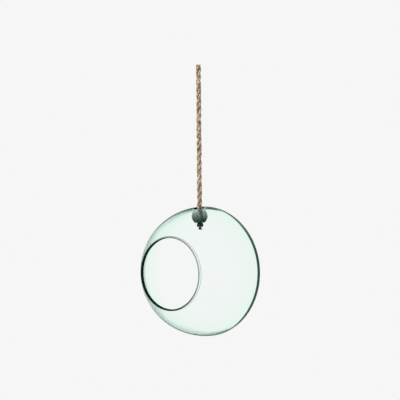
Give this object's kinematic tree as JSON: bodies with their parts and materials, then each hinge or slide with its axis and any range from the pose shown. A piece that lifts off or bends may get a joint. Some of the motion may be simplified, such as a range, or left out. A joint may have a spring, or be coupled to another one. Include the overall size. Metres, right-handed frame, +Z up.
{
  "type": "hanging propagation vase",
  "caption": "Hanging glass globe vase with a round mouth in its side, carried on a jute rope by a bead and knot inside; the globe turns about the rope and tips on the bead.",
  "frame": {"origin": "centre of the rope's cut upper end, where the vase is hung", "axes": "+Z up along the rope, -Y out of the globe's mouth, +X to the right of someone who faces the mouth"},
  "size_m": [0.1686, 0.1105, 0.353],
  "materials": {
    "green_glass": "clear, polished",
    "jute": "matte laid fibre",
    "bead_green": "satin, dark",
    "dark_jute": "matte fibre"
  },
  "bodies": {
    "rope": {"rope": "jute", "stopper_knot": "dark_jute", "rope_tail": "dark_jute"},
    "bead": {"stopper_bead": "bead_green"},
    "globe": {"glass_globe": "green_glass"}
  },
  "joints": [
    {"name": "bead_turn", "type": "hinge", "parent": "rope", "child": "bead", "pos_m": [0, 0, -0.19717], "axis": [0, 0, 1], "continuous": true},
    {"name": "globe_tip", "type": "hinge", "parent": "bead", "child": "globe", "pos_m": [0, 0, -0.19717], "axis": [1, 0, 0], "range_deg": [-22, 4]}
  ]
}
